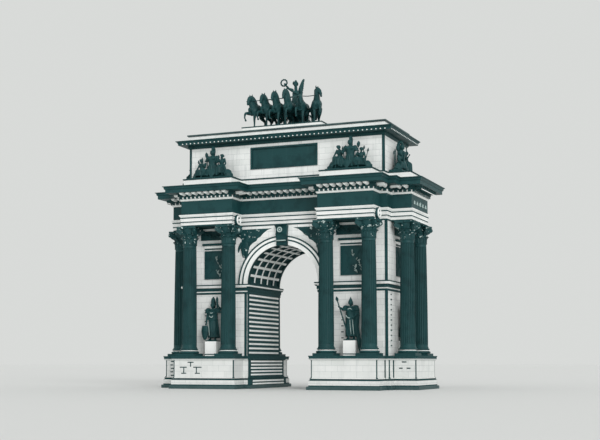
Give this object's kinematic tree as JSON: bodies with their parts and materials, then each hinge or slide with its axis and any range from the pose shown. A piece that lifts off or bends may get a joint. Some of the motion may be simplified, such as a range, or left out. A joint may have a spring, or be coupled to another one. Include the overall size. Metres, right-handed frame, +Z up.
{
  "type": "triumphal arch",
  "caption": "Triumphal arch with a coffered vault, paired Corinthian iron columns, a broken entablature, attic trophies and a horse-drawn chariot with a winged figure on top.",
  "frame": {"origin": "on the ground at the middle of the plan", "axes": "+Z up; the passage runs along Y, the front with the horses' heads faces -Y, and X runs across the front"},
  "size_m": [26.59, 14.29, 29.88],
  "materials": {
    "limestone": "dressed pale limestone",
    "granite": "rough dressed granite",
    "cast_iron": "painted dark green blue, satin",
    "statuary": "cast figures, painted dark green blue",
    "roof_metal": "dark sheet metal with standing seams"
  },
  "bodies": {
    "root": {"left_base_step": "granite", "right_base_step": "granite", "left_podium": "limestone", "right_podium": "limestone", "left_pylon_wall": "limestone", "right_pylon_wall": "limestone", "left_impost_band": "limestone", "right_impost_band": "limestone", "left_upper_wall": "limestone", "right_upper_wall": "limestone", "spandrel_wall": "limestone", "coffered_vault": "limestone", "archivolts": "limestone", "keystones": "cast_iron", "front_column_bases": "cast_iron", "back_column_bases": "cast_iron", "end_column_bases": "cast_iron", "front_column_shafts": "cast_iron", "back_column_shafts": "cast_iron", "end_column_shafts": "cast_iron", "front_column_capitals": "cast_iron", "back_column_capitals": "cast_iron", "end_column_capitals": "cast_iron", "architrave": "limestone", "entablature_core": "limestone", "frieze": "cast_iron", "dentil_course": "limestone", "modillion_course": "limestone", "cornice_crown": "cast_iron", "attic_plinth": "limestone", "attic_front_wall": "limestone", "attic_back_wall": "limestone", "attic_end_walls": "limestone", "inscription_panels": "cast_iron", "attic_cornice": "cast_iron", "blocking_course": "limestone", "attic_roof": "roof_metal", "chariot_plinth": "limestone", "corner_strips": "cast_iron", "warrior_pedestals": "limestone", "warriors": "statuary", "relief_panels": "cast_iron", "trophy_groups": "statuary", "spandrel_reliefs": "cast_iron", "horses": "statuary", "chariot": "statuary", "victory": "statuary"}
  },
  "joints": []
}
